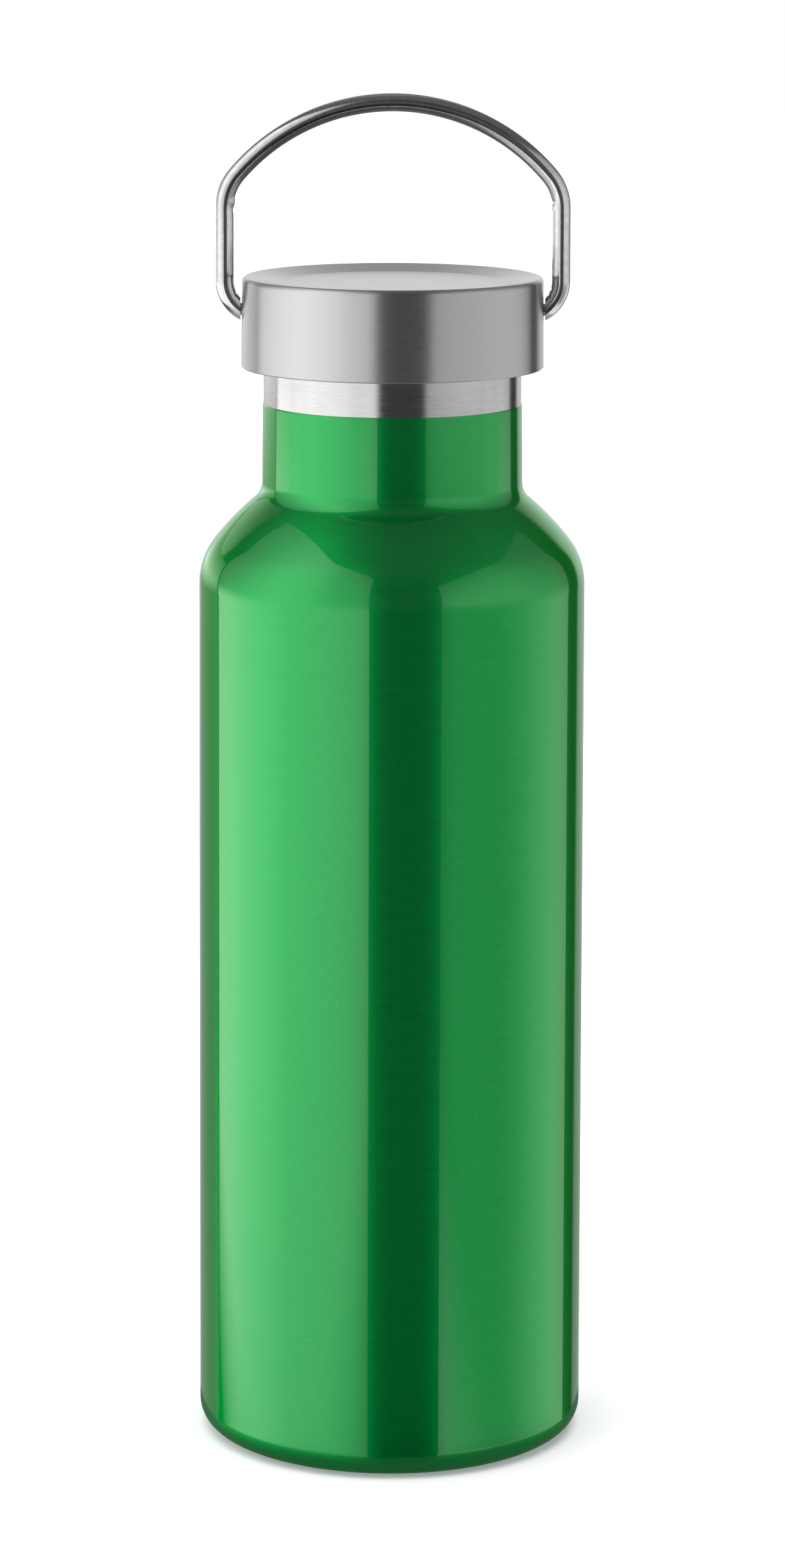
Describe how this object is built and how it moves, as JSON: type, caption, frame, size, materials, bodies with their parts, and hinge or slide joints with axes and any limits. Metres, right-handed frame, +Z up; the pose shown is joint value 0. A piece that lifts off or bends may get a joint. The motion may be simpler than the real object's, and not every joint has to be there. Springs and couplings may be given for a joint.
{
  "type": "vacuum flask",
  "caption": "Slim double-wall steel vacuum flask with a green lacquered body, a bare steel neck band, a dished screw-on steel lid and a swinging bail handle.",
  "frame": {"origin": "on the ground at the middle of the base", "axes": "+Z up along the flask's axis; the handle's pivot line lies along X, so the handle is seen broad along Y"},
  "size_m": [0.07, 0.07, 0.2454],
  "materials": {
    "green_lacquer": "glossy translucent green lacquer over brushed steel",
    "satin_steel": "brushed round the lid, satin on the handle",
    "inner_steel": "electropolished",
    "foil": "bright foil",
    "getter": "sintered",
    "seal_braze": "melted bead",
    "lid_plastic": "moulded polypropylene",
    "foam": "rigid foam",
    "silicone": "matt silicone",
    "bush_plastic": "smooth acetal",
    "pivot_steel": "turned"
  },
  "bodies": {
    "flask": {"outer_shell": "green_lacquer", "outer_base": "green_lacquer", "vacuum_seal": "seal_braze", "base_cover": "green_lacquer", "inner_liner": "inner_steel", "liner_base": "inner_steel", "heat_shield_foil": "foil", "getter_holder": "inner_steel", "getter_pellet": "getter"},
    "lid_seal": {"mouth_gasket": "silicone"},
    "lid": {"lid_cover": "satin_steel", "lid_insert": "lid_plastic", "plug_liner": "inner_steel", "foam_core": "foam", "pivot_bush_right": "bush_plastic", "pivot_bush_left": "bush_plastic", "friction_washers": "pivot_steel"},
    "bail": {"handle": "satin_steel", "pivot_pin_right": "pivot_steel", "pivot_pin_left": "pivot_steel", "retaining_clips": "pivot_steel"}
  },
  "joints": [
    {"name": "lid_lift", "type": "slide", "parent": "flask", "child": "lid_seal", "axis": [0, 0, 1], "range_m": [0, 0.0048]},
    {"name": "lid_turn", "type": "hinge", "parent": "lid_seal", "child": "lid", "pos_m": [0, 0, 0.2], "axis": [0, 0, 1], "range_deg": [0, 570]},
    {"name": "handle_swing", "type": "hinge", "parent": "lid", "child": "bail", "pos_m": [0, 0, 0.2064], "axis": [1, 0, 0], "range_deg": [-128, 128]}
  ],
  "couplings": [
    {"joint": "lid_lift", "follows": "lid_turn", "m_per_rad": 0.00047746}
  ]
}
